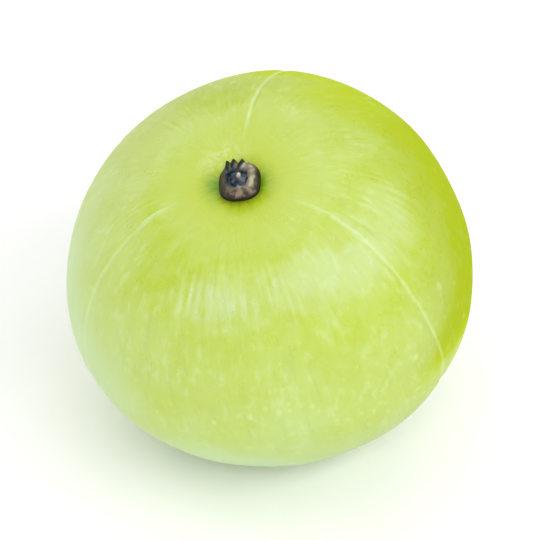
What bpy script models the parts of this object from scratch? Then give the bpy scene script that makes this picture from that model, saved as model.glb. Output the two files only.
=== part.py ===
"""Indian gooseberry (amla): one whole pale green fruit with its dried stem stub.

Metres, +Z up. The origin is the centre of the small flat spot that the fruit rests on. The fruit leans: its
stem end points up, mostly towards -Y and a little towards -X. Each mesh is made in the fruit's own frame,
whose Z is the stem axis, and an empty at the fruit's middle carries the lean.
"""

from math import asin, cos, exp, pi, radians, sin, tau

import bmesh
import bpy
from mathutils import Matrix, Vector

MM = 0.001

# The body of the fruit: a slightly flattened ball, 36 mm across and 32 mm from stem to tip.
EQUATOR_RADIUS = 18.0 * MM
POLE_RADIUS = 16.05 * MM

# Three seams run from stem to tip, unequally spaced, and wander sideways as they near the stem.
# Each lies along a low rounded corner of the cross-section.
SEAM_AZIMUTHS = (radians(77.6), radians(205.2), radians(324.5))
SEAM_WANDER = (radians(3.7), radians(-14.0), radians(11.7))
CORNER_RISE = 0.017
SEAM_DEPTH = 0.10 * MM
SEAM_HALF_WIDTH = 0.42 * MM
SEAM_STARTS_AT = 3.6 * MM
SEAM_FULL_AT = 7.0 * MM

# The wide shallow dish at the stem end with a dimple in it, the dimple at the tip, and the low button of the
# style scar.
STEM_DISH_RADIUS = 9.0 * MM
STEM_DISH_DEPTH = 1.2 * MM
STEM_DIMPLE_RADIUS = 4.0 * MM
STEM_DIMPLE_DEPTH = 0.5 * MM
TIP_DIMPLE_RADIUS = 3.4 * MM
TIP_DIMPLE_DEPTH = 0.55 * MM
STYLE_SCAR_RADIUS = 0.9 * MM
STYLE_SCAR_RISE = 0.25 * MM

# The plain hole that the stub is rooted in.
SOCKET_RADIUS = 1.5 * MM
SOCKET_DEPTH = 1.5 * MM

# How the fruit lies, and how much its lowest side is flattened where it rests.
LEAN = radians(23.8)
LEAN_TOWARDS = radians(-117.3)
FLAT_DEPTH = 0.36 * MM

# The stub, measured from its own underside: a root in the hole, a flange, a waisted wall and a ring round a
# hollow.
CLEARANCE = 0.3 * MM
ROOT_RADIUS = SOCKET_RADIUS - CLEARANCE
ROOT_LENGTH = SOCKET_DEPTH - CLEARANCE
FLANGE_RADIUS = 1.93 * MM
FLANGE_HEIGHT = 0.36 * MM
WAIST_RADIUS = 1.6 * MM
WAIST_HEIGHT = 0.75 * MM
WALL_FOLD = 0.06 * MM
RING_RADIUS = 1.42 * MM
RING_HEIGHT = 1.3 * MM
HOLLOW_RADIUS = 0.92 * MM
HOLLOW_HEIGHT = 0.6 * MM
KNOB_RADIUS = 0.3 * MM
KNOB_HEIGHT = 1.25 * MM

# The stub stands a little off the stem axis and slants. Its hollow and the knob in it lie off the ring's
# middle, and the hollow's floor slopes, deep beside the thin wall and shallow beside the thick one.
FOOT_ASIDE = Vector((0.17, -0.12, 0.0)) * MM
RING_ASIDE = Vector((0.45, 0.0, 0.0)) * MM
HOLLOW_ASIDE = Vector((-0.29, -0.08, 0.0)) * MM
KNOB_ASIDE = Vector((-0.14, 0.2, 0.0)) * MM
HOLLOW_SLOPE = 0.2 * MM
HOLLOW_SHALLOW_SIDE = radians(20.0)

# The flange and the ring are squarish, and one corner of the ring stands out and up.
SQUARENESS = 0.1 * MM
CORNER_AZIMUTH = radians(133.0)
CORNER_WIDTH = radians(70.0)
CORNER_OUT = 0.05 * MM
CORNER_UP = 0.25 * MM

# Three pointed calyx teeth stand on the back of the ring, given by azimuth, height and half width.
# They splay a little.
TEETH = (
    (radians(129.0), 0.40 * MM, 0.25 * MM),
    (radians(107.0), 0.36 * MM, 0.28 * MM),
    (radians(76.0), 0.42 * MM, 0.30 * MM),
)
TEETH_SPLAY = 0.35

# How finely the meshes are divided.
FRUIT_ROWS = 44
POLE_CROWDING = 0.42
COLUMNS_BETWEEN_SEAMS = 20
SEAM_COLUMN_STEP = radians(1.15)
STUB_COLUMNS = 72


def clear_scene():
    for old in list(bpy.data.objects):
        bpy.data.objects.remove(old)


def smooth_step(value):
    value = min(1.0, max(0.0, value))
    return value * value * (3.0 - 2.0 * value)


def bump(distance, radius):
    """1 at distance 0, falling smoothly to 0 at the radius."""
    inside = max(0.0, 1.0 - (distance / radius) ** 2)
    return inside * inside


def angle_between(first, second):
    """The signed angle from the second azimuth to the first, between minus pi and pi."""
    return (first - second + pi) % tau - pi


def seam_phase(azimuth):
    """The azimuth, stretched so that the three seams fall at 0, a third and two thirds of a turn."""
    for index, start in enumerate(SEAM_AZIMUTHS):
        gap = (SEAM_AZIMUTHS[(index + 1) % 3] - start) % tau
        beyond = (azimuth - start) % tau
        if beyond < gap:
            return (index + beyond / gap) * tau / 3.0
    return 0.0


def wander(azimuth, from_stem):
    """How far sideways the skin at this azimuth is drawn near the stem, to follow the seams beside it."""
    place = seam_phase(azimuth) * 3.0 / tau
    index = int(place) % 3
    share = place - int(place)
    drawn = SEAM_WANDER[index] * (1.0 - share) + SEAM_WANDER[(index + 1) % 3] * share
    return drawn * max(cos(from_stem), 0.0) ** 2


def seam_groove(azimuth, radius):
    """How deep the nearest seam cuts in at this azimuth, at this distance from the stem axis."""
    nearest = min(abs(angle_between(azimuth, seam)) for seam in SEAM_AZIMUTHS)
    profile = exp(-((nearest * EQUATOR_RADIUS / SEAM_HALF_WIDTH) ** 2))
    fade = smooth_step((radius - SEAM_STARTS_AT) / (SEAM_FULL_AT - SEAM_STARTS_AT))
    return SEAM_DEPTH * profile * fade


def skin_point(from_stem, azimuth):
    """A point of the skin, by its angle from the stem and its azimuth, in the fruit's own frame."""
    radius = EQUATOR_RADIUS * sin(from_stem)
    height = POLE_RADIUS * cos(from_stem)
    corner = CORNER_RISE * cos(3.0 * seam_phase(azimuth)) * sin(from_stem) ** 2
    groove = seam_groove(azimuth, radius)
    slope = Vector((radius / EQUATOR_RADIUS**2, height / POLE_RADIUS**2)).normalized()
    if height > 0.0:
        height -= STEM_DISH_DEPTH * bump(radius, STEM_DISH_RADIUS)
        height -= STEM_DIMPLE_DEPTH * bump(radius, STEM_DIMPLE_RADIUS)
    else:
        height += TIP_DIMPLE_DEPTH * bump(radius, TIP_DIMPLE_RADIUS)
        height -= STYLE_SCAR_RISE * bump(radius, STYLE_SCAR_RADIUS)
    radius = radius * (1.0 + corner) - groove * slope.x
    height -= groove * slope.y
    turned = azimuth + wander(azimuth, from_stem)
    return Vector((radius * cos(turned), radius * sin(turned), height))


def fruit_azimuths():
    """Columns round the fruit: close together over each seam, and evenly spaced between them."""
    azimuths = []
    for index, seam in enumerate(SEAM_AZIMUTHS):
        gap = (SEAM_AZIMUTHS[(index + 1) % 3] - seam) % tau
        edge = 2.0 * SEAM_COLUMN_STEP
        azimuths += [seam, seam + SEAM_COLUMN_STEP]
        for step in range(COLUMNS_BETWEEN_SEAMS + 1):
            azimuths.append(seam + edge + (gap - 2.0 * edge) * step / COLUMNS_BETWEEN_SEAMS)
        azimuths.append(seam + gap - SEAM_COLUMN_STEP)
    return azimuths


def fruit_rows():
    """Rings of skin from the mouth of the stem hole to just short of the tip, closer at both ends."""
    mouth = asin(SOCKET_RADIUS / EQUATOR_RADIUS)
    azimuths = fruit_azimuths()
    rows = []
    for step in range(FRUIT_ROWS):
        share = step / FRUIT_ROWS
        share -= POLE_CROWDING * sin(tau * share) / tau
        from_stem = mouth + (pi - mouth) * share
        rows.append([skin_point(from_stem, azimuth) for azimuth in azimuths])
    return rows


def closed_rings(rows, first_point, last_point):
    """A closed mesh through rings of points that run away from +Z, with a fan to one point at each end."""
    skin = bmesh.new()
    rings = [[skin.verts.new(point) for point in row] for row in rows]
    first = skin.verts.new(first_point)
    last = skin.verts.new(last_point)
    count = len(rows[0])
    for column in range(count):
        after = (column + 1) % count
        skin.faces.new((first, rings[0][column], rings[0][after]))
        for upper, lower in zip(rings, rings[1:]):
            skin.faces.new((upper[column], lower[column], lower[after], upper[after]))
        skin.faces.new((rings[-1][column], last, rings[-1][after]))
    return skin


def cut_flat_spot(skin, lean):
    """Flattens the side that is lowest once the fruit leans, and returns the middle of the flat spot."""
    down = lean.inverted() @ Vector((0.0, 0.0, -1.0))
    lowest = max(vertex.co.dot(down) for vertex in skin.verts)
    cut = bmesh.ops.bisect_plane(
        skin,
        geom=skin.verts[:] + skin.edges[:] + skin.faces[:],
        plane_co=down * (lowest - FLAT_DEPTH),
        plane_no=down,
        clear_outer=True,
    )
    rim = [part for part in cut["geom_cut"] if isinstance(part, bmesh.types.BMEdge)]
    flat = bmesh.ops.contextual_create(skin, geom=rim)["faces"][0]
    return flat.calc_center_median_weighted()


def fruit_skin():
    rows = fruit_rows()
    mouth = rows[0]
    floor_height = mouth[0].z - SOCKET_DEPTH
    wall_foot = [Vector((point.x, point.y, floor_height)) for point in mouth]
    return closed_rings([wall_foot] + rows, Vector((0.0, 0.0, floor_height)), skin_point(pi, 0.0))


def squarish(azimuth):
    """How far the flange and the ring stand out of round at this azimuth."""
    return SQUARENESS * cos(4.0 * (azimuth - CORNER_AZIMUTH))


def ring_form(azimuth):
    """How far the ring stands out of round, and how far it rises, at this azimuth."""
    corner = bump(angle_between(azimuth, CORNER_AZIMUTH), CORNER_WIDTH)
    tooth = 0.0
    for tooth_azimuth, height, half_width in TEETH:
        aside = abs(angle_between(azimuth, tooth_azimuth)) * RING_RADIUS
        tooth = max(tooth, height * (1.0 - aside / half_width))
    out = squarish(azimuth) + CORNER_OUT * corner + TEETH_SPLAY * tooth
    return out, CORNER_UP * corner + tooth


def wall_fold(azimuth):
    """The uneven folds of the dried wall, between minus 1 and 1."""
    return 0.6 * cos(7.0 * azimuth + 1.0) + 0.4 * cos(12.0 * azimuth + 2.2)


def above_foot(height):
    """The middle of the stub at this height above its flange's underside."""
    return FOOT_ASIDE.lerp(RING_ASIDE, height / RING_HEIGHT) + Vector((0.0, 0.0, height))


def stub_row(radius, middle, folds=0.0, flange=0.0, ring=0.0, slope=0.0):
    """One ring of the stub. The last four say how far it has the folds, the forms and the hollow's slope."""
    row = []
    for step in range(STUB_COLUMNS):
        azimuth = tau * step / STUB_COLUMNS
        out, rise = ring_form(azimuth)
        at = radius + ring * out + flange * squarish(azimuth) + folds * WALL_FOLD * wall_fold(azimuth)
        up = ring * rise + slope * HOLLOW_SLOPE * cos(azimuth - HOLLOW_SHALLOW_SIDE)
        row.append(middle + Vector((at * cos(azimuth), at * sin(azimuth), up)))
    return row


def knob_and_hollow():
    """Rings of the stub from the knob's top down into the hollow and up its wall."""
    deep = above_foot(HOLLOW_HEIGHT)
    step_up = Vector((0.0, 0.0, 0.09 * MM))
    under_ring = above_foot(RING_HEIGHT - 0.3 * MM)
    return [
        stub_row(0.5 * KNOB_RADIUS, above_foot(KNOB_HEIGHT - 0.05 * MM) + KNOB_ASIDE),
        stub_row(KNOB_RADIUS, above_foot(KNOB_HEIGHT - 0.25 * MM) + KNOB_ASIDE),
        stub_row(0.46 * MM, deep + step_up + 0.6 * KNOB_ASIDE + 0.3 * HOLLOW_ASIDE, slope=0.6),
        stub_row(0.66 * MM, deep + 0.8 * HOLLOW_ASIDE, slope=1.0),
        stub_row(HOLLOW_RADIUS - 0.08 * MM, deep + step_up + HOLLOW_ASIDE, folds=0.2, slope=1.0),
        stub_row(HOLLOW_RADIUS, under_ring + HOLLOW_ASIDE, folds=0.5, ring=0.3, slope=0.4),
    ]


def ring_and_wall():
    """Rings of the stub from inside its ring, over the crest and down the wall to the flange's underside."""
    crest = above_foot(RING_HEIGHT)
    down = Vector((0.0, 0.0, -MM))
    return [
        stub_row(RING_RADIUS - 0.42 * MM, crest + 0.1 * down + 0.9 * HOLLOW_ASIDE, folds=0.7, ring=0.9),
        stub_row(RING_RADIUS - 0.24 * MM, crest + 0.5 * HOLLOW_ASIDE, folds=0.8, ring=1.0),
        stub_row(RING_RADIUS - 0.07 * MM, crest + 0.04 * down + 0.15 * HOLLOW_ASIDE, folds=0.9, ring=1.0),
        stub_row(RING_RADIUS, crest + 0.22 * down, folds=1.0, ring=0.8),
        stub_row(WAIST_RADIUS, above_foot(WAIST_HEIGHT), folds=1.0, flange=0.6, ring=0.4),
        stub_row(FLANGE_RADIUS - 0.09 * MM, above_foot(FLANGE_HEIGHT), folds=0.4, flange=1.0),
        stub_row(FLANGE_RADIUS, above_foot(0.5 * FLANGE_HEIGHT), flange=1.0),
        stub_row(FLANGE_RADIUS - 0.11 * MM, above_foot(0.0), flange=1.0),
    ]


def stub_skin():
    """The whole stub, from the knob in its hollow to the end of its root."""
    root_end = Vector((0.0, 0.0, -ROOT_LENGTH))
    root = [stub_row(ROOT_RADIUS, Vector()), stub_row(ROOT_RADIUS, root_end)]
    rows = knob_and_hollow() + ring_and_wall() + root
    return closed_rings(rows, above_foot(KNOB_HEIGHT) + KNOB_ASIDE, root_end)


def plain_material(name, colour, roughness, subsurface=0.0):
    material = bpy.data.materials.new(name)
    material.use_nodes = True
    shader = material.node_tree.nodes["Principled BSDF"]
    shader.inputs["Base Color"].default_value = (*colour, 1.0)
    shader.inputs["Roughness"].default_value = roughness
    shader.inputs["Metallic"].default_value = 0.0
    shader.inputs["Subsurface Weight"].default_value = subsurface
    shader.inputs["Subsurface Scale"].default_value = 2.0 * MM
    material.diffuse_color = (*colour, 1.0)
    return material


def add_node(name, skin, material, parent):
    """Makes the named object from a bmesh, smooth where its faces meet gently, and hangs it on its parent."""
    mesh = bpy.data.meshes.new(name)
    bmesh.ops.recalc_face_normals(skin, faces=skin.faces[:])
    skin.to_mesh(mesh)
    skin.free()
    mesh.shade_smooth()
    mesh.set_sharp_from_angle(angle=radians(35.0))
    mesh.materials.append(material)
    node = bpy.data.objects.new(name, mesh)
    node.parent = parent
    bpy.context.scene.collection.objects.link(node)
    return node


def build():
    clear_scene()
    lean_axis = Vector((-sin(LEAN_TOWARDS), cos(LEAN_TOWARDS), 0.0))
    lean = Matrix.Rotation(LEAN, 4, lean_axis)

    skin = fruit_skin()
    flat_middle = cut_flat_spot(skin, lean)

    middle = bpy.data.objects.new("fruit_middle", None)
    middle.matrix_world = Matrix.Translation(-(lean @ flat_middle)) @ lean
    bpy.context.scene.collection.objects.link(middle)

    green = plain_material("fruit_skin", (0.56, 0.72, 0.12), 0.35, 0.3)
    add_node("fruit", skin, green, middle)

    brown = plain_material("dry_stem", (0.20, 0.16, 0.12), 0.75)
    stub = add_node("stem_stub", stub_skin(), brown, middle)
    flange_angle = asin(FLANGE_RADIUS / EQUATOR_RADIUS)
    stub.location.z = skin_point(flange_angle, 0.0).z + CLEARANCE


build()
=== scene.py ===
"""Looks of the Indian gooseberry: its fine skin and stem stub, their materials, the studio and the camera.

Metres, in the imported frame. Shapes are first made in the fruit's own frame, whose Z is the stem axis.
"""

from math import asin, cos, pi, radians, sin, tau

import bpy
import numpy as np
from mathutils import Matrix, Vector


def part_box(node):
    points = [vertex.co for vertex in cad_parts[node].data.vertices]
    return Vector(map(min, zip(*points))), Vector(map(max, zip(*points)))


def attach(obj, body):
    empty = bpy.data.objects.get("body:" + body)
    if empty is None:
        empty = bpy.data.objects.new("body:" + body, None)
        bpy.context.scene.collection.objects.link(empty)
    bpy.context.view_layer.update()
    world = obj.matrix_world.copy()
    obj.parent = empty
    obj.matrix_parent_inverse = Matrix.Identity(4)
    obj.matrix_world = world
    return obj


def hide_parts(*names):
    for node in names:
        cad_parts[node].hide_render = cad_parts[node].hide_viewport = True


MM = 0.001

# The body of the fruit, as in the solids. The fine skin lies a hair inside them, so it never stands proud.
# A seam's wander is how far it is drawn sideways at the stem.
EQUATOR_RADIUS = 18.0 * MM
POLE_RADIUS = 16.05 * MM
SKIN_INSET = 0.05 * MM
SEAM_AZIMUTHS = (radians(77.6), radians(205.2), radians(324.5))
SEAM_WANDER = (radians(3.7), radians(-14.0), radians(11.7))
CORNER_RISE = 0.017
SEAM_DEPTH = 0.10 * MM
SEAM_HALF_WIDTH = 0.42 * MM
SEAM_STARTS_AT = 3.6 * MM
SEAM_FULL_AT = 7.0 * MM
STEM_DISH_RADIUS = 9.0 * MM
STEM_DISH_DEPTH = 1.2 * MM
STEM_DIMPLE_RADIUS = 4.0 * MM
STEM_DIMPLE_DEPTH = 0.5 * MM
TIP_DIMPLE_RADIUS = 3.4 * MM
TIP_DIMPLE_DEPTH = 0.55 * MM
STYLE_SCAR_RADIUS = 0.9 * MM
STYLE_SCAR_RISE = 0.25 * MM
SOCKET_RADIUS = 1.5 * MM
SOCKET_DEPTH = 1.5 * MM
LEAN = radians(23.8)
LEAN_TOWARDS = radians(-117.3)

# Relief that only the fine skin has. Ribs and wrinkles run along the meridians, and their lengths are
# measured round the equator.
SWELL_HEIGHT = 0.035 * MM
SWELL_LENGTH = 8.0 * MM
PEBBLE_HEIGHT = 0.008 * MM
PEBBLE_LENGTH = 1.9 * MM
RIB_HEIGHT = 0.011 * MM
RIB_LENGTH = 0.95 * MM
RIB_STRETCH = (1.0, 1.0, 0.12)
RIBS_START_AT = 2.0 * MM
RIBS_FULL_AT = 10.0 * MM
RIBBED_AZIMUTH = radians(-110.0)
RIBBED_WIDTH = radians(60.0)
WRINKLE_HEIGHT = 0.05 * MM
WRINKLE_LENGTH = 16.0 / 3.0 * MM
WRINKLE_REACH = 5.0 * MM

# Where the skin is a deeper green beside the stub, painted shade in the dimple, given by azimuth and
# strength, how far round the stub it is duller, and where pale flecks lie above it.
DIMPLE_SHADE_PATCHES = ((radians(190.0), 2.2), (radians(-12.0), 2.0), (radians(-95.0), 0.6))
DIMPLE_SHADE_WIDTH = radians(55.0)
DIMPLE_SHADE_REACH = 4.0 * MM
STEM_DULL_REACH = 5.7 * MM
STEM_DULLNESS = 0.7
FLECK_AZIMUTH = radians(115.0)
FLECK_WIDTH = radians(70.0)
FLECK_DISTANCE = 3.3 * MM
FLECK_REACH = 1.8 * MM

# The stub, as in the solids.
CLEARANCE = 0.3 * MM
ROOT_LENGTH = SOCKET_DEPTH - CLEARANCE
FLANGE_RADIUS = 1.93 * MM
WALL_FOLD = 0.06 * MM
RING_RADIUS = 1.42 * MM
RING_HEIGHT = 1.3 * MM
KNOB_HEIGHT = 1.25 * MM
KNOB_ASIDE = (-0.14 * MM, 0.2 * MM)
FOOT_ASIDE = (0.17 * MM, -0.12 * MM)
RING_ASIDE = (0.45 * MM, 0.0)
HOLLOW_SLOPE = 0.2 * MM
HOLLOW_SHALLOW_SIDE = radians(20.0)
SQUARENESS = 0.1 * MM
CORNER_AZIMUTH = radians(133.0)
CORNER_WIDTH = radians(70.0)
CORNER_OUT = 0.05 * MM
CORNER_UP = 0.25 * MM
TEETH = (
    (radians(129.0), 0.40 * MM, 0.25 * MM),
    (radians(107.0), 0.36 * MM, 0.28 * MM),
    (radians(76.0), 0.42 * MM, 0.30 * MM),
)
TEETH_SPLAY = 0.35

# The stub's rings in mm: radius, height and how far off its middle in X and Y. Then the shares in folds,
# flange form, ring form and the hollow's slope, and how much of the ring is hollow, knob and crest.
STUB_RINGS = (
    (0.12, 1.20, -0.14, 0.20, 0.0, 0.0, 0.0, 0.0, 0.0, 1.0, 0.0),
    (0.22, 1.00, -0.14, 0.20, 0.0, 0.0, 0.0, 0.0, 0.3, 0.7, 0.0),
    (0.42, 0.69, -0.17, 0.10, 0.0, 0.0, 0.0, 0.6, 0.9, 0.0, 0.0),
    (0.66, 0.60, -0.25, -0.08, 0.0, 0.0, 0.0, 1.0, 1.0, 0.0, 0.0),
    (0.88, 0.69, -0.33, -0.13, 0.2, 0.0, 0.0, 1.0, 1.0, 0.0, 0.0),
    (0.97, 1.00, -0.34, -0.14, 0.5, 0.0, 0.3, 0.4, 0.7, 0.0, 0.0),
    (1.05, 1.20, -0.31, -0.12, 0.7, 0.0, 0.9, 0.0, 0.2, 0.0, 0.7),
    (1.19, 1.30, -0.18, -0.07, 0.8, 0.0, 1.0, 0.0, 0.0, 0.0, 1.0),
    (1.35, 1.26, -0.04, -0.01, 0.9, 0.0, 1.0, 0.0, 0.0, 0.0, 1.0),
    (1.42, 1.08, 0.0, 0.0, 1.0, 0.0, 0.8, 0.0, 0.0, 0.0, 0.3),
    (1.60, 0.75, 0.0, 0.0, 1.0, 0.6, 0.4, 0.0, 0.0, 0.0, 0.0),
    (1.84, 0.36, 0.0, 0.0, 0.4, 1.0, 0.0, 0.0, 0.0, 0.0, 0.0),
    (1.93, 0.18, 0.0, 0.0, 0.0, 1.0, 0.0, 0.0, 0.0, 0.0, 0.0),
    (1.82, 0.00, 0.0, 0.0, 0.0, 1.0, 0.0, 0.0, 0.0, 0.0, 0.0),
    (1.20, 0.00, -0.17, 0.12, 0.0, 0.0, 0.0, 0.0, 0.0, 0.0, 0.0),
    (1.20, -1.20, -0.17, 0.12, 0.0, 0.0, 0.0, 0.0, 0.0, 0.0, 0.0),
)

# Relief that only the fine stub has.
STUB_WRINKLE_HEIGHT = 0.035 * MM
STUB_WRINKLE_LENGTH = 0.5 * MM
RIDGE_HEIGHT = 0.03 * MM
RIDGE_LENGTH = 0.2 * MM
RIDGE_SWAY_LENGTH = 1.4 * MM

# The sides of the lying fruit, as directions: how far towards +X, +Y and up each one looks.
FRONT_SIDE = (0.0, -0.79, 0.62)
LEFT_SIDE = (-0.8, 0.0, -0.3)
RIGHT_SIDE = (0.8, 0.0, 0.15)

# The uneven edges of the tints on those sides, as waves with a length, a height and a seed each, the faint
# clouds in the bloom, and how far the dull tint counts among those that make the skin plain.
EDGE_WAVES = ((9.0 * MM, 0.05, 31), (16.0 * MM, 0.04, 32), (4.5 * MM, 0.025, 33))
CLOUD_LENGTH = 5.0 * MM
DULL_PLAINNESS = 0.4

# The skin's colours.
SATURATED_GREEN = (0.485, 0.61, 0.032)
SOFT_GREEN = (0.505, 0.64, 0.078)
PALE_GREEN = (0.57, 0.695, 0.165)
YELLOW_GREEN = (0.50, 0.61, 0.016)
# Mint bloom, together with a painted reflection of the white floor and room along the left and low rims.
MINT_BLOOM_AND_REFLECTION = (0.58, 0.755, 0.43)
# A slightly darker green, painted shade on the far right and along the top's far edge.
FAR_SHADE_GREEN = (0.475, 0.59, 0.035)
# Deep green for the dark streaks, and painted shade on the right side where it leaves the front.
STREAK_AND_SHADE_GREEN = (0.32, 0.405, 0.004)
SPECK_GREEN = (0.63, 0.765, 0.31)
SEAM_GREEN = (0.635, 0.77, 0.27)
# Painted shade in the dimple beside the stub.
DIMPLE_SHADE_GREEN = (0.21, 0.40, 0.006)
FLECK_CREAM = (0.66, 0.74, 0.38)

# How often the skin's patterns repeat, per mm, and how far they are drawn out along its meridians.
PATCH_SCALE = 0.17
MOTTLE_SCALE = 0.7
STREAK_SCALE = 1.15
STREAK_STRETCH = (1.0, 1.0, 0.16)
STROKE_SCALE = 1.2
SPECK_SCALE = 0.7
SPECK_STRETCH = (1.0, 1.0, 0.6)
FLECK_SCALE = 2.4
BESIDE_STUB_SCALE = 0.9

# How far the tints cover the skin where they are strongest.
BLOOM_AND_REFLECTION_SHARE = 0.85
DULL_SHADE_SHARE = 0.75
DEEP_SHADE_SHARE = 0.7

# The skin's gloss and the light inside it.
SKIN_IOR = 1.85
GLOSS_TINT = (0.4, 0.38, 1.0)
GLOSSY_ROUGHNESS = 0.25
DRIER_ROUGHNESS = 0.37
MATTE_ROUGHNESS_ADDED = 0.26
SCATTER_SHARE = 0.35
SCATTER_RADIUS = (1.0, 1.0, 0.35)
SCATTER_DEPTH = 1.6 * MM
SKIN_BUMP_DEPTH = 0.06 * MM

# The stub's colours.
WALL_BLACK = (0.045, 0.033, 0.022)
WALL_TAN = (0.27, 0.195, 0.16)
# Painted shadow at the foot of the stub's wall.
FOOT_SHADOW_BLACK = (0.012, 0.009, 0.003)
# Painted shade on the stub's right side.
RIGHT_SHADE_BLACK = (0.015, 0.012, 0.006)
# Painted shade on the stub's left side.
LEFT_SHADE_BLACK = (0.03, 0.03, 0.016)
RING_BROWN = (0.20, 0.175, 0.12)
RING_TAN = (0.44, 0.41, 0.28)
RING_SHADE = (0.10, 0.08, 0.065)
# Painted shade in the stub's hollow, and blue-grey patches of painted sheen in it.
HOLLOW_SHADE_BLACK = (0.014, 0.022, 0.034)
HOLLOW_SHEEN_BLUE = (0.14, 0.18, 0.20)
# The knob's own pale colour, which also stands in for a painted highlight.
KNOB_PINK_AND_HIGHLIGHT = (0.60, 0.53, 0.49)
TOOTH_CHARCOAL = (0.022, 0.028, 0.020)

# The stub's patterns, per mm, and its relief.
FIBRE_SCALE = 2.0
FIBRE_STRETCH = (1.0, 1.0, 0.55)
BLOTCH_SCALE = 1.3
STUB_BUMP_DEPTH = 0.05 * MM

# How finely the meshes are divided.
SKIN_ROWS = 174
POLE_CROWDING = 0.3
SEAM_BAND = 1.3 * MM
SEAM_BAND_COLUMNS = 12
COLUMNS_BETWEEN_SEAMS = 154
STUB_COLUMNS = 200
STUB_ROWS = 150

# The view.
VIEW_ELEVATION = radians(38.0)
VIEW_DISTANCE = 420.0 * MM
VIEW_WIDTH = 47.65 * MM
SENSOR_WIDTH = 36.0
NEAREST_SEEN = 10.0 * MM

# The studio: azimuth and elevation of each softbox in degrees, its distance, width and height in metres, and
# its power in watts.
SOFTBOXES = {
    "overhead": (110.0, 72.0, 0.6, 0.9, 0.9, 2.2),
    "front_left": (-121.0, 24.0, 0.45, 0.20, 0.155, 0.46),
    "front_right": (-60.0, 41.0, 0.45, 0.52, 0.21, 1.12),
    "right": (0.0, 35.0, 0.45, 0.33, 0.2, 0.44),
    "left": (170.0, 10.0, 0.45, 0.3, 0.3, 0.24),
    "back_left": (135.0, 20.0, 0.45, 0.3, 0.3, 0.29),
    "back_right": (75.0, 35.0, 0.45, 0.4, 0.2, 0.12),
}
ROOM_LIGHT = 0.31
FLOOR_HALF = 1.5
FLOOR_WHITE = (0.96, 0.96, 0.96)


def smooth_step(value):
    """0 up to the value 0, 1 from the value 1 on, and a smooth rise between them."""
    value = np.clip(value, 0.0, 1.0)
    return value * value * (3.0 - 2.0 * value)


def bump(distance, radius):
    """1 at distance 0, falling smoothly to 0 at the radius."""
    inside = np.clip(1.0 - (distance / radius) ** 2, 0.0, None)
    return inside * inside


def angle_between(first, second):
    """The signed angle from the second azimuth to the first, between minus pi and pi."""
    return (first - second + pi) % tau - pi


def waves(points, wavelength, seed, count=28):
    """A smooth random field of mean square 1 over the points: plane waves of about one length, summed."""
    random = np.random.default_rng(seed)
    directions = random.normal(size=(count, points.shape[-1]))
    directions /= np.linalg.norm(directions, axis=1, keepdims=True)
    lengths = wavelength * random.uniform(0.75, 1.35, count)
    phases = random.uniform(0.0, tau, count)
    total = np.zeros(points.shape[:-1])
    for direction, length, phase in zip(directions, lengths, phases):
        total += np.cos(points @ direction * (tau / length) + phase)
    return total * (2.0 / count) ** 0.5


def seam_phase(azimuth):
    """The azimuth, stretched so that the three seams fall at 0, a third and two thirds of a turn."""
    seams = np.array(SEAM_AZIMUTHS + (SEAM_AZIMUTHS[0] + tau,))
    turned = SEAM_AZIMUTHS[0] + (azimuth - SEAM_AZIMUTHS[0]) % tau
    return np.interp(turned, seams, np.arange(4) * tau / 3.0)


def wander(azimuth, from_stem):
    """How far sideways the skin at each azimuth is drawn near the stem, to follow the seams beside it."""
    place = seam_phase(azimuth) * 3.0 / tau
    drawn = np.interp(place, np.arange(4), SEAM_WANDER + SEAM_WANDER[:1])
    return drawn * np.clip(np.cos(from_stem), 0.0, None) ** 2


def stem_hollow(radius):
    """How deep the dish and the dimple round the stem go at this distance from the stem axis."""
    dish = STEM_DISH_DEPTH * bump(radius, STEM_DISH_RADIUS)
    return dish + STEM_DIMPLE_DEPTH * bump(radius, STEM_DIMPLE_RADIUS)


def nearest_seam(azimuth):
    """The angle to the nearest seam."""
    return np.min([np.abs(angle_between(azimuth, seam)) for seam in SEAM_AZIMUTHS], axis=0)


def skin_columns():
    """Azimuths round the fruit: close together over each seam, and evenly spaced between them."""
    band = SEAM_BAND / EQUATOR_RADIUS
    azimuths = []
    for index, seam in enumerate(SEAM_AZIMUTHS):
        before, after = seam - band, seam + band
        next_band = seam + (SEAM_AZIMUTHS[(index + 1) % 3] - seam) % tau - band
        azimuths.append(np.linspace(before, after, 2 * SEAM_BAND_COLUMNS, endpoint=False))
        azimuths.append(np.linspace(after, next_band, COLUMNS_BETWEEN_SEAMS, endpoint=False))
    return np.concatenate(azimuths)


def lean_matrix():
    """Turns the fruit's own frame to the way it lies."""
    return Matrix.Rotation(LEAN, 4, Vector((-sin(LEAN_TOWARDS), cos(LEAN_TOWARDS), 0.0)))


def lean(points):
    """Points of the fruit's own frame, turned the way it lies."""
    return points @ np.array(lean_matrix().to_3x3()).T


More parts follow.
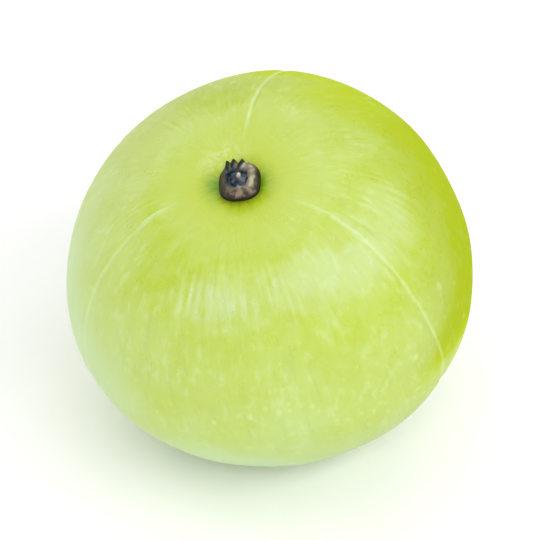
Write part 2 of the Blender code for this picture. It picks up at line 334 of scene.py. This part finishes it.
def skin_tints(points):
    """How pale with bloom and painted reflection, how deep in colour with painted shade, how dull and how
    matte the skin is at each of its points.
    """
    turned = lean(points) / EQUATOR_RADIUS
    across, up = turned[..., 0], turned[..., 2]
    uneven = sum(much * waves(points, length, seed) for length, much, seed in EDGE_WAVES)
    front = turned @ np.array(FRONT_SIDE)
    behind = smooth_step((0.15 - front) / 0.9)

    # Bloom, with a painted reflection of the white floor and room, lies on the left side and the low side,
    # more thinly behind, and in faint clouds.
    left = smooth_step((turned @ np.array(LEFT_SIDE) + 0.6 * uneven - 0.33) / 0.6) ** 1.4
    low = smooth_step((-up + 0.6 * uneven - 0.1) / 0.6) ** 1.2
    cloud = np.clip(waves(points, CLOUD_LENGTH, seed=34), -1.0, 1.0)
    bloom = np.maximum(left, low) * (1.0 - 0.6 * behind) * (0.93 + 0.07 * cloud)

    # The right side turns deep and dull where it leaves the front, and the top's far edge turns dull. The
    # deep and dull tints are painted shade, a darker green there.
    facing = front + 0.5 * uneven - 0.28 * np.clip(across, 0.0, None) ** 4
    turned_away = smooth_step((0.72 - facing) / 0.52)
    deep = turned_away * smooth_step((up + 0.2) / 0.25) * smooth_step((across - 0.2) / 0.6)
    deep = deep * (1.0 - 0.3 * smooth_step((up - 0.3) / 0.5)) * (1.0 - 0.75 * behind)
    dull = turned_away * smooth_step((up + 0.35) / 0.3) * smooth_step(turned @ np.array(RIGHT_SIDE) / 0.5)
    edge = smooth_step((0.34 - facing) / 0.3) * smooth_step((up + 0.1) / 0.4)
    dull = np.maximum(dull, edge * smooth_step((across + 0.35) / 0.35))

    # The low side is matte, and so, in part, is the rim between front and back.
    rim = smooth_step((0.45 - front) / 0.4) * (1.0 - behind)
    matte = np.maximum(smooth_step((0.1 - up) / 0.45), 0.7 * rim)
    return bloom, deep, dull, np.maximum(bloom, matte)


def skin_rows():
    """Angles from the stem axis, from the hole's mouth to just short of the tip, closer near both."""
    mouth = asin(SOCKET_RADIUS / EQUATOR_RADIUS)
    share = np.arange(SKIN_ROWS) / SKIN_ROWS
    share = share - POLE_CROWDING * np.sin(tau * share) / tau
    return mouth + (pi - mouth) * share


def along_meridians(azimuth, arc):
    """Places for patterns that run along the meridians: round the equator in X and Y, down the skin in Z."""
    equator_x, equator_y = EQUATOR_RADIUS * np.cos(azimuth), EQUATOR_RADIUS * np.sin(azimuth)
    return np.stack(np.broadcast_arrays(equator_x, equator_y, arc), axis=-1)


def seam_groove(azimuth, radius):
    """How deep the seams' grooves go. They start a little way from the stem axis."""
    fade = smooth_step((radius - SEAM_STARTS_AT) / (SEAM_FULL_AT - SEAM_STARTS_AT))
    gap = nearest_seam(azimuth) * EQUATOR_RADIUS
    return SEAM_DEPTH * np.exp(-((gap / SEAM_HALF_WIDTH) ** 2)) * fade


def skin_relief(smooth, meridian, azimuth, radius, textured):
    """How high the swells, pebbles and ribs stand, and near the stem the wrinkles that take their place."""
    ribbed = smooth_step((radius - RIBS_START_AT) / (RIBS_FULL_AT - RIBS_START_AT))
    ribbed = ribbed * (0.5 + 0.5 * bump(angle_between(azimuth, RIBBED_AZIMUTH), RIBBED_WIDTH))
    stretched = meridian * np.array(RIB_STRETCH)
    relief = SWELL_HEIGHT * waves(smooth, SWELL_LENGTH, seed=11)
    relief += PEBBLE_HEIGHT * waves(smooth, PEBBLE_LENGTH, seed=12, count=40) * textured
    relief += RIB_HEIGHT * waves(stretched, RIB_LENGTH, seed=13, count=60) * ribbed * textured
    wrinkles = np.minimum(waves(stretched, WRINKLE_LENGTH, seed=14, count=40), 0.6)
    near_stem = bump(radius, WRINKLE_REACH) * (smooth[..., 2] > 0.0)
    return relief * (1.0 - near_stem) + WRINKLE_HEIGHT * near_stem * wrinkles


def stem_tints(azimuth, radius):
    """How deep a green the skin is beside the stub as painted shade, how flecked above it, and how dull
    round it.
    """
    beside = sum(much * bump(angle_between(azimuth, at), DIMPLE_SHADE_WIDTH) for at, much in DIMPLE_SHADE_PATCHES)
    above = bump(angle_between(azimuth, FLECK_AZIMUTH), FLECK_WIDTH)
    above = above * bump(radius - FLECK_DISTANCE, FLECK_REACH)
    dish = STEM_DULLNESS * bump(radius, STEM_DULL_REACH)
    return beside * bump(radius, DIMPLE_SHADE_REACH), above, dish


def skin_grid():
    """The skin's points and fields, in rows of columns from the stem hole's mouth almost to the tip."""
    from_stem = skin_rows()[:, None]
    azimuth = skin_columns()[None, :]
    arc = from_stem * EQUATOR_RADIUS
    radius = EQUATOR_RADIUS * np.sin(from_stem)
    height = POLE_RADIUS * np.cos(from_stem)
    stem_half = height > 0.0
    level_x, level_y = radius * np.cos(azimuth), radius * np.sin(azimuth)
    smooth = np.stack(np.broadcast_arrays(level_x, level_y, height), axis=-1)
    meridian = along_meridians(azimuth, arc)

    bloom, deep, dull, matte = skin_tints(smooth)
    plain = np.maximum(bloom, np.maximum(deep, DULL_PLAINNESS * dull))
    textured = 1.0 - 0.95 * smooth_step(1.6 * plain)
    relief = skin_relief(smooth, meridian, azimuth, radius, textured)
    lift = relief - seam_groove(azimuth, radius) - SKIN_INSET

    slope = np.stack([radius / EQUATOR_RADIUS**2, height / POLE_RADIUS**2])
    slope /= np.linalg.norm(slope, axis=0)
    corner = CORNER_RISE * np.cos(3.0 * seam_phase(azimuth)) * np.sin(from_stem) ** 2
    dimple = stem_hollow(radius) * stem_half
    tip = TIP_DIMPLE_DEPTH * bump(radius, TIP_DIMPLE_RADIUS)
    tip = (tip - STYLE_SCAR_RISE * bump(radius, STYLE_SCAR_RADIUS)) * ~stem_half
    out = radius * (1.0 + corner) + lift * slope[0]
    up = height - dimple + tip + lift * slope[1]
    turned = azimuth + wander(azimuth, from_stem)
    points = np.stack([out * np.cos(turned), out * np.sin(turned), up], axis=-1)

    beside, above, dish = [tint * stem_half for tint in stem_tints(azimuth, radius)]
    shape = points.shape[:2]
    fields = {
        "bloom": bloom,
        "deep": deep,
        "dull": dull,
        "matte": matte,
        "dish": np.broadcast_to(dish, shape),
        "beside": np.broadcast_to(beside, shape),
        "above": np.broadcast_to(above, shape),
        "meridian": meridian / MM,
        "own": points / MM,
        "seam_mm": np.broadcast_to(nearest_seam(azimuth) * radius / MM, shape),
        "arc_mm": np.broadcast_to(arc / MM, shape),
        "third": np.broadcast_to(seam_phase(azimuth) * 3.0 / tau, shape),
    }
    return points, fields


def ring_faces(rows, columns):
    """Quads between rings of vertices, numbered row by row. The rings run away from +Z."""
    row, column = np.meshgrid(np.arange(rows - 1), np.arange(columns), indexing="ij")
    after = (column + 1) % columns
    start = row * columns
    beyond = start + columns
    quads = np.stack([start + column, beyond + column, beyond + after, start + after], axis=-1)
    return quads.reshape(-1, 4)


def make_piece(name, points, fields, first_point, last_point, material):
    """A closed, smooth object through rings of points, with a fan to one point at each end.

    The fields go on its vertices.
    """
    rows, columns = points.shape[:2]
    corners = np.concatenate([points.reshape(-1, 3), [first_point], [last_point]])
    first, last = rows * columns, rows * columns + 1
    faces = ring_faces(rows, columns).tolist()
    tail = (rows - 1) * columns
    for column in range(columns):
        after = (column + 1) % columns
        faces.append((first, column, after))
        faces.append((tail + column, last, tail + after))
    mesh = bpy.data.meshes.new(name)
    mesh.from_pydata(corners.tolist(), [], faces)
    mesh.shade_smooth()
    for field, values in fields.items():
        is_vector = values.ndim == 3
        flat = values.reshape(-1, 3) if is_vector else values.reshape(-1)
        flat = np.concatenate([flat, flat[:1], flat[-1:]])
        made = mesh.attributes.new(field, "FLOAT_VECTOR" if is_vector else "FLOAT", "POINT")
        made.data.foreach_set("vector" if is_vector else "value", flat.astype(np.float32).ravel())
    mesh.materials.append(material)
    mesh.validate()
    piece = bpy.data.objects.new(name, mesh)
    bpy.context.scene.collection.objects.link(piece)
    return piece


def fruit_place(points):
    """Where the fruit's own frame lies: with the skin centred in its solid's box, and level with its top."""
    low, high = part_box("fruit")
    turned = lean(points.reshape(-1, 3))
    skin_low, skin_high = turned.min(axis=0), turned.max(axis=0)
    middle = (np.array(low) + np.array(high) - skin_low - skin_high) / 2.0
    middle[2] = high.z - SKIN_INSET - skin_high[2]
    return Matrix.Translation(Vector(middle)) @ lean_matrix()


def make_skin(points, fields, place, material):
    """The fruit's fine skin, with the wall and floor of the stem hole, flat where it rests."""
    mouth = points[0]
    foot = mouth.copy()
    foot[:, 2] = mouth[:, 2].mean() - SOCKET_DEPTH
    rows = np.concatenate([foot[None], points])
    with_foot = {key: np.concatenate([values[:1], values]) for key, values in fields.items()}
    tip = np.array([0.0, 0.0, points[-1][:, 2].mean()])
    hole_floor = np.array([0.0, 0.0, foot[0, 2]])
    piece = make_piece("fruit_skin", rows, with_foot, hole_floor, tip, material)
    piece.data.transform(place)
    for vertex in piece.data.vertices:
        vertex.co.z = max(vertex.co.z, 0.0)
    return piece


def squarish(azimuth):
    """How far the flange and the ring stand out of round at each azimuth."""
    return SQUARENESS * np.cos(4.0 * (azimuth - CORNER_AZIMUTH))


def ring_form(azimuth):
    """How far the ring stands out of round, how far it rises, and how far its teeth do, at each azimuth."""
    corner = bump(angle_between(azimuth, CORNER_AZIMUTH), CORNER_WIDTH)
    tooth = np.zeros_like(azimuth)
    for tooth_azimuth, height, half_width in TEETH:
        aside = np.abs(angle_between(azimuth, tooth_azimuth)) * RING_RADIUS
        tooth = np.maximum(tooth, height * (1.0 - aside / half_width))
    out = squarish(azimuth) + CORNER_OUT * corner + TEETH_SPLAY * tooth
    return out, CORNER_UP * corner + tooth, tooth


def wall_fold(azimuth):
    """The uneven folds of the dried wall, between minus 1 and 1."""
    return 0.6 * np.cos(7.0 * azimuth + 1.0) + 0.4 * np.cos(12.0 * azimuth + 2.2)


def stub_middle(height):
    """How far in X and Y the stub's middle lies from the stem axis at each height."""
    share = np.clip(height, 0.0, None) / RING_HEIGHT
    return [foot + (ring - foot) * share for foot, ring in zip(FOOT_ASIDE, RING_ASIDE)]


def stub_grid():
    """The stub's points as rows of columns, from the knob to the end of the root, with its fields."""
    rings = np.array(STUB_RINGS)
    steps = np.linalg.norm(np.diff(rings[:, :2], axis=0), axis=1)
    along = np.concatenate([[0.0], np.cumsum(steps)])
    fine = np.linspace(0.0, along[-1], STUB_ROWS)
    columns = [np.interp(fine, along, column)[:, None] for column in rings.T]
    radius, height, aside_x, aside_y = [column * MM for column in columns[:4]]
    folds, flange, ring, slope, hollow, knob, crest = columns[4:]
    azimuth = np.linspace(0.0, tau, STUB_COLUMNS, endpoint=False)[None, :]
    out, rise, tooth = ring_form(azimuth)
    at = radius + ring * out + flange * squarish(azimuth) + folds * WALL_FOLD * wall_fold(azimuth)
    wall_x, wall_y = np.cos(azimuth) * RING_RADIUS, np.sin(azimuth) * RING_RADIUS
    on_wall = np.stack(np.broadcast_arrays(wall_x, wall_y, 0.4 * height), axis=-1)
    wrinkle = np.minimum(waves(on_wall, STUB_WRINKLE_LENGTH, seed=21, count=40), 0.0)
    at = at + np.clip(folds + 0.3 * hollow, 0.0, 1.0) * STUB_WRINKLE_HEIGHT * wrinkle
    sway = 2.0 * waves(on_wall, RIDGE_SWAY_LENGTH, seed=22)
    ridges = RIDGE_HEIGHT * crest * (np.sin(tau * at / RIDGE_LENGTH + sway) - 1.0)
    up = height + ring * rise + slope * HOLLOW_SLOPE * np.cos(azimuth - HOLLOW_SHALLOW_SIDE) + ridges
    middle_x, middle_y = stub_middle(height)
    at_x = middle_x + aside_x + at * np.cos(azimuth)
    at_y = middle_y + aside_y + at * np.sin(azimuth)
    points = np.stack([at_x, at_y, up], axis=-1)
    shape = points.shape[:2]
    fields = {
        "own": points / MM,
        "tooth": np.broadcast_to(ring * tooth / MM, shape),
        "hollow": np.broadcast_to(hollow, shape),
        "knob": np.broadcast_to(knob, shape),
        "crest": np.broadcast_to(crest, shape),
        "right_side": np.broadcast_to(np.cos(azimuth), shape),
    }
    return points, fields


def make_stub(place, seat_height, material):
    """The stem stub, with the underside of its flange at the seat's height on the stem axis."""
    points, fields = stub_grid()
    top_x, top_y = stub_middle(KNOB_HEIGHT)
    top = np.array([top_x + KNOB_ASIDE[0], top_y + KNOB_ASIDE[1], KNOB_HEIGHT])
    foot = np.array([0.0, 0.0, -ROOT_LENGTH])
    piece = make_piece("stem_end", points, fields, top, foot, material)
    piece.data.transform(place @ Matrix.Translation((0.0, 0.0, seat_height)))
    return piece


class Look:
    """One material's nodes, with short ways to add and join them."""

    def __init__(self, name):
        self.material = bpy.data.materials.new(name)
        self.material.use_nodes = True
        self.tree = self.material.node_tree

    def put(self, socket, value):
        """Links a socket, or sets a plain value."""
        if isinstance(value, bpy.types.NodeSocket):
            self.tree.links.new(value, socket)
        elif isinstance(value, tuple) and len(value) == 3 and len(socket.default_value) == 4:
            socket.default_value = (*value, 1.0)
        else:
            socket.default_value = value

    def material_with(self, values):
        """The material, with its shader's inputs set by their names."""
        shader = self.tree.nodes["Principled BSDF"]
        for name, value in values.items():
            self.put(shader.inputs[name], value)
        return self.material

    def add(self, kind, values=(), output=0, **settings):
        """The output of a new node, with its settings made and its inputs put."""
        node = self.tree.nodes.new(kind)
        for key, value in settings.items():
            setattr(node, key, value)
        for key, value in dict(values).items():
            self.put(node.inputs[key], value)
        return node.outputs[output]

    def field(self, name):
        """A number that the mesh holds at each vertex."""
        return self.add("ShaderNodeAttribute", output="Fac", attribute_name=name)

    def vector(self, name):
        """A place that the mesh holds at each vertex."""
        return self.add("ShaderNodeAttribute", output="Vector", attribute_name=name)

    def math(self, operation, first, second=0.0, clamp=False):
        return self.add("ShaderNodeMath", {0: first, 1: second}, operation=operation, use_clamp=clamp)

    def times(self, first, second, clamp=False):
        return self.math("MULTIPLY", first, second, clamp)

    def stretch(self, vector, factors):
        return self.add("ShaderNodeVectorMath", {0: vector, 1: factors}, operation="MULTIPLY")

    def noise(self, vector, scale, detail=2.0, roughness=0.5):
        values = {"Vector": vector, "Scale": scale, "Detail": detail, "Roughness": roughness}
        return self.add("ShaderNodeTexNoise", values, output="Fac")

    def band(self, value, low, high, to_low=0.0, to_high=1.0):
        """The value, taken smoothly from low..high to to_low..to_high."""
        values = {"Value": value, "From Min": low, "From Max": high, "To Min": to_low, "To Max": to_high}
        return self.add("ShaderNodeMapRange", values, interpolation_type="SMOOTHSTEP")

    def mix(self, share, first, second):
        """The second colour over the first, by the share."""
        node = self.tree.nodes.new("ShaderNodeMix")
        node.data_type = "RGBA"
        self.put(node.inputs["Factor"], share)
        under, over = [socket for socket in node.inputs if socket.type == "RGBA"]
        self.put(under, first)
        self.put(over, second)
        return next(socket for socket in node.outputs if socket.type == "RGBA")


def skin_tinted(look, patches, mottle):
    """The skin's ground colour: patchy yellow-green with mint bloom and painted reflection, and painted
    shade of a deeper green on its far right.
    """
    colour = look.mix(look.band(patches, 0.36, 0.64), SATURATED_GREEN, SOFT_GREEN)
    colour = look.mix(look.band(mottle, 0.45, 0.75, 0.0, 0.28), colour, PALE_GREEN)
    colour = look.mix(look.band(look.field("arc_mm"), 8.5, 3.0, 0.0, 0.95), colour, YELLOW_GREEN)
    # Mint bloom with a painted reflection of the white floor and room.
    colour = look.mix(look.times(look.field("bloom"), BLOOM_AND_REFLECTION_SHARE), colour, MINT_BLOOM_AND_REFLECTION)
    # Painted shade: a slightly darker green on the dull far side.
    colour = look.mix(look.times(look.field("dull"), DULL_SHADE_SHARE), colour, FAR_SHADE_GREEN)
    # Painted shade: a deep green on the right side.
    return look.mix(look.times(look.field("deep"), DEEP_SHADE_SHARE), colour, STREAK_AND_SHADE_GREEN)


def skin_marks(look, colour, patches, plain):
    """Streaks and strokes along the meridians and pale oval specks, all fainter where the skin is plain."""
    meridian = look.vector("meridian")
    arc = look.field("arc_mm")
    share = look.times(look.band(arc, 2.0, 12.0, 0.2, 1.0), look.band(plain, 0.1, 0.7, 1.0, 0.2))
    share = look.times(share, look.band(patches, 0.35, 0.6, 0.5, 1.2))

    streaks = look.noise(look.stretch(meridian, STREAK_STRETCH), STREAK_SCALE, 3.0, 0.6)
    light = look.band(streaks, 0.50, 0.75, 0.0, 0.25)
    colour = look.mix(look.times(light, share), colour, PALE_GREEN)
    dark = look.band(streaks, 0.45, 0.28, 0.0, 0.15)
    colour = look.mix(look.times(dark, share), colour, STREAK_AND_SHADE_GREEN)

    drawn_out = look.stretch(meridian, SPECK_STRETCH)
    strokes = look.band(look.noise(drawn_out, STROKE_SCALE), 0.5, 0.72, 0.0, 0.32)
    colour = look.mix(look.times(strokes, share), colour, SPECK_GREEN)

    cells = {"Vector": drawn_out, "Scale": SPECK_SCALE}
    specks = look.band(look.add("ShaderNodeTexVoronoi", cells, output="Distance"), 0.28, 0.08)
    scattered = look.band(look.noise(look.vector("own"), SPECK_SCALE, 1.0), 0.42, 0.55)
    specks = look.times(specks, scattered)
    specks = look.times(specks, look.band(arc, 14.0, 28.0, 0.1, 0.6))
    specks = look.times(specks, look.band(plain, 0.1, 0.7, 1.0, 0.35))
    return look.mix(specks, colour, SPECK_GREEN)


def seam_lines(look, colour, mottle):
    """Pale lines along the seams, strongest on the upper one and fading towards the tip."""
    arc = look.field("arc_mm")
    line = look.times(look.band(look.field("seam_mm"), 0.28, 0.04), look.band(arc, 4.0, 8.0))
    line = look.times(line, look.band(arc, 25.0, 33.0, 1.0, 0.2))

    # The upper seam lies where the thirds of a turn begin and end, at 0 and 3.
    off_lower_side = look.math("ABSOLUTE", look.math("SUBTRACT", look.field("third"), 1.5))
    line = look.times(line, look.band(off_lower_side, 1.0, 1.4, 0.65, 1.0))
    line = look.times(line, look.band(mottle, 0.3, 0.6, 0.55, 1.0))
    return look.mix(line, colour, SEAM_GREEN)


def round_the_stub(look, colour):
    """Deeper green beside the stub, in patches, as painted shade in the dimple, and cream flecks above it.
    """
    patchy = look.noise(look.vector("meridian"), BESIDE_STUB_SCALE, 3.0, 0.6)
    patchy = look.band(patchy, 0.3, 0.6, 0.45, 1.0)
    # Painted shade in the dimple beside the stub.
    colour = look.mix(look.times(look.field("beside"), patchy, clamp=True), colour, DIMPLE_SHADE_GREEN)
    flecks = look.band(look.noise(look.vector("own"), FLECK_SCALE), 0.42, 0.62, 0.1, 0.55)
    return look.mix(look.times(look.field("above"), flecks, clamp=True), colour, FLECK_CREAM)


def skin_bump(look, plain):
    """Soft streaky relief, hardly any where the skin is plain and little beside the stub."""
    height = look.noise(look.stretch(look.vector("meridian"), STREAK_STRETCH), STREAK_SCALE, 0.8)
    off_stub = look.band(look.field("arc_mm"), 3.0, 10.0, 0.3, 1.0)
    strength = look.times(look.band(plain, 0.0, 0.5, 0.6, 0.05), off_stub)
    values = {"Height": height, "Strength": strength, "Distance": SKIN_BUMP_DEPTH}
    return look.add("ShaderNodeBump", values, output="Normal")


def skin_material():
    """Translucent waxy skin, glossy on its upper side and matte with bloom and painted reflection low down.
    """
    look = Look("amla_skin")
    own = look.vector("own")
    patches = look.noise(own, PATCH_SCALE, 3.0, 0.55)
    mottle = look.noise(own, MOTTLE_SCALE, 3.0, 0.6)
    dull = look.field("dull")
    deep_or_dull = look.math("MAXIMUM", look.field("deep"), look.times(dull, DULL_PLAINNESS))
    plain = look.math("MAXIMUM", look.field("bloom"), deep_or_dull)

    colour = skin_tinted(look, patches, mottle)
    colour = skin_marks(look, colour, patches, plain)
    colour = seam_lines(look, colour, mottle)
    colour = round_the_stub(look, colour)

    rough = look.band(mottle, 0.3, 0.7, GLOSSY_ROUGHNESS, DRIER_ROUGHNESS)
    rough = look.math("ADD", rough, look.times(look.field("matte"), MATTE_ROUGHNESS_ADDED))
    glossless = look.math("MAXIMUM", dull, look.field("dish"))
    return look.material_with(
        {
            "Base Color": colour,
            "Normal": skin_bump(look, plain),
            "Roughness": rough,
            "Specular IOR Level": look.band(glossless, 0.0, 0.95, 0.5, 0.0),
            "Specular Tint": GLOSS_TINT,
            "IOR": SKIN_IOR,
            "Subsurface Weight": SCATTER_SHARE,
            "Subsurface Radius": SCATTER_RADIUS,
            "Subsurface Scale": SCATTER_DEPTH,
        }
    )


def stub_material():
    """Dry stem end: wrinkled brown wall, tan ring, blue-black hollow with a pale knob, charcoal teeth, with
    painted shade on the wall and hollow, a painted sheen in the hollow and a painted highlight on the knob.
    """
    look = Look("dry_stem_end")
    own = look.vector("own")
    height = look.add("ShaderNodeSeparateXYZ", {"Vector": own}, output="Z")
    right_side = look.field("right_side")
    fibre = look.noise(look.stretch(own, FIBRE_STRETCH), FIBRE_SCALE, 4.0, 0.6)
    blotch = look.noise(own, BLOTCH_SCALE, 3.0, 0.6)

    wall = look.mix(look.band(fibre, 0.38, 0.64), WALL_BLACK, WALL_TAN)
    # Painted shadow: the wall turns near black towards its foot.
    wall = look.mix(look.band(height, 0.7, 0.3), wall, FOOT_SHADOW_BLACK)
    # Painted shade: the wall's right side turns near black.
    wall = look.mix(look.band(right_side, 0.7, 1.0, 0.0, 0.9), wall, RIGHT_SHADE_BLACK)
    ring = look.mix(look.band(blotch, 0.36, 0.64), RING_BROWN, RING_TAN)
    ring = look.mix(look.band(right_side, 0.3, -0.3, 0.0, 0.85), ring, RING_SHADE)
    colour = look.mix(look.field("crest"), wall, ring)
    # Painted shade: the stub's left side turns near black.
    colour = look.mix(look.band(right_side, -0.6, -0.97, 0.0, 0.75), colour, LEFT_SHADE_BLACK)

    # The hollow is painted shade, near black with blue-grey patches of painted sheen.
    hollow = look.mix(look.band(blotch, 0.36, 0.6), HOLLOW_SHADE_BLACK, HOLLOW_SHEEN_BLUE)
    colour = look.mix(look.band(look.field("hollow"), 0.15, 0.75), colour, hollow)
    # The knob is pale, and its colour also stands in for a painted highlight.
    colour = look.mix(look.band(look.field("knob"), 0.5, 1.0), colour, KNOB_PINK_AND_HIGHLIGHT)
    colour = look.mix(look.band(look.field("tooth"), 0.02, 0.2), colour, TOOTH_CHARCOAL)

    relief = {"Height": fibre, "Strength": 0.8, "Distance": STUB_BUMP_DEPTH}
    return look.material_with(
        {
            "Base Color": colour,
            "Normal": look.add("ShaderNodeBump", relief, output="Normal"),
            "Roughness": look.band(fibre, 0.3, 0.7, 0.45, 0.75),
            "Specular IOR Level": 0.2,
        }
    )


def floor_material():
    """Plain, nearly matte white."""
    values = {"Base Color": FLOOR_WHITE, "Roughness": 0.7, "Specular IOR Level": 0.2}
    return Look("studio_floor").material_with(values)


def make_floor():
    """A plain white ground, wide enough to fill the view from any side."""
    corners = [(x * FLOOR_HALF, y * FLOOR_HALF, 0.0) for x, y in ((-1, -1), (1, -1), (1, 1), (-1, 1))]
    mesh = bpy.data.meshes.new("studio_floor")
    mesh.from_pydata(corners, [], [(0, 1, 2, 3)])
    mesh.materials.append(floor_material())
    floor = bpy.data.objects.new("studio_floor", mesh)
    bpy.context.scene.collection.objects.link(floor)


def make_softbox(name, aim):
    """One of the softboxes, facing the aim."""
    azimuth, elevation, distance, width, height, power = SOFTBOXES[name]
    data = bpy.data.lights.new(name, "AREA")
    data.shape = "RECTANGLE"
    data.size = width
    data.size_y = height
    data.energy = power
    light = bpy.data.objects.new(name, data)
    turn, rise = radians(azimuth), radians(elevation)
    direction = Vector((cos(rise) * cos(turn), cos(rise) * sin(turn), sin(rise)))
    light.location = aim + direction * distance
    light.rotation_euler = direction.to_track_quat("Z", "Y").to_euler()
    bpy.context.scene.collection.objects.link(light)


def make_studio(aim):
    """White light from all round and the softboxes, all aimed at one point."""
    world = bpy.context.scene.world or bpy.data.worlds.new("studio")
    bpy.context.scene.world = world
    world.use_nodes = True
    background = world.node_tree.nodes["Background"]
    background.inputs["Color"].default_value = (1.0, 1.0, 1.0, 1.0)
    background.inputs["Strength"].default_value = ROOM_LIGHT
    for name in SOFTBOXES:
        make_softbox(name, aim)
    bpy.context.scene.view_settings.view_transform = "Standard"


def make_camera(aim):
    """A long lens that looks down at the aim from the front."""
    data = bpy.data.cameras.new("camera")
    data.sensor_width = SENSOR_WIDTH
    data.lens = SENSOR_WIDTH * VIEW_DISTANCE / VIEW_WIDTH
    data.clip_start = NEAREST_SEEN
    camera = bpy.data.objects.new("camera", data)
    back = Vector((0.0, -cos(VIEW_ELEVATION), sin(VIEW_ELEVATION)))
    camera.location = aim + back * VIEW_DISTANCE
    camera.rotation_euler = back.to_track_quat("Z", "Y").to_euler()
    bpy.context.scene.collection.objects.link(camera)
    bpy.context.scene.camera = camera


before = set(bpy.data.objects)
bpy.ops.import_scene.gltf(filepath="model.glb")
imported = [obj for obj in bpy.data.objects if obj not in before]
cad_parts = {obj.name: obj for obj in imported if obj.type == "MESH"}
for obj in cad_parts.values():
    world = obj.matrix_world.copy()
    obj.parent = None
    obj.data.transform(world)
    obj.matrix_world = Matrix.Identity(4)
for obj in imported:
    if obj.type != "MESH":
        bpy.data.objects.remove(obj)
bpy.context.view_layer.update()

skin_points, skin_fields = skin_grid()
place = fruit_place(skin_points)
skin = make_skin(skin_points, skin_fields, place, skin_material())
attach(skin, "root")
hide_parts("fruit")

flange_angle = asin(FLANGE_RADIUS / EQUATOR_RADIUS)
seat = POLE_RADIUS * cos(flange_angle) - float(stem_hollow(FLANGE_RADIUS)) + CLEARANCE
stub = make_stub(place, seat, stub_material())
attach(stub, "root")
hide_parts("stem_stub")

fruit_middle = place.translation
make_floor()
make_studio(fruit_middle)
make_camera(fruit_middle)
